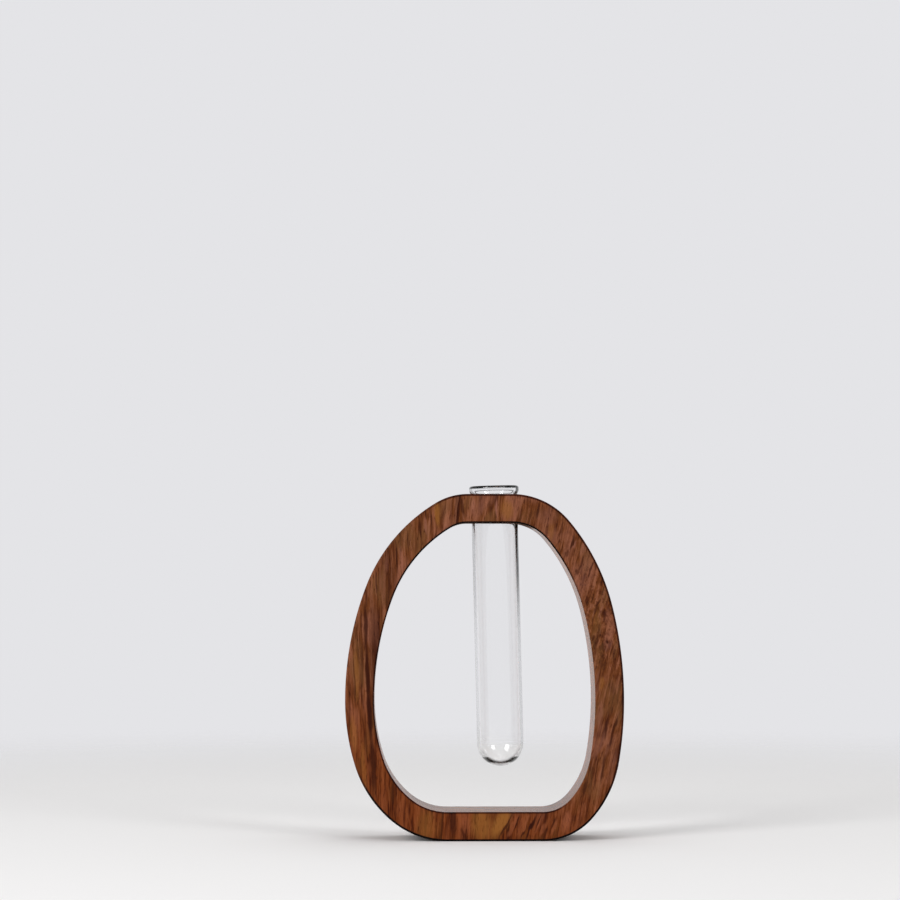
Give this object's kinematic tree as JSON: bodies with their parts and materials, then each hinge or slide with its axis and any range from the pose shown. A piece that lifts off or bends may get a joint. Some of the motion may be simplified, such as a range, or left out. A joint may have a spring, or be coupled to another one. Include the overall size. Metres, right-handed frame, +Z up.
{
  "type": "test tube vase",
  "caption": "Egg-shaped wooden ring on a flat foot that holds a glass test tube by its lip for a cut stem; the tube lifts out.",
  "frame": {"origin": "on the surface that the ring stands on, under the middle of the ring's width and of the board's depth", "axes": "+Z up, front face towards -Y, +X to the right seen from the front"},
  "size_m": [0.149, 0.035, 0.19],
  "materials": {
    "oiled_wood": "satin oil",
    "clear_glass": "polished"
  },
  "bodies": {
    "frame": {"wooden_frame": "oiled_wood"},
    "tube": {"glass_tube": "clear_glass"}
  },
  "joints": [
    {"name": "tube_lift", "type": "slide", "parent": "frame", "child": "tube", "axis": [-0.0244, 0, 0.9997], "range_m": [0, 0.15]}
  ]
}
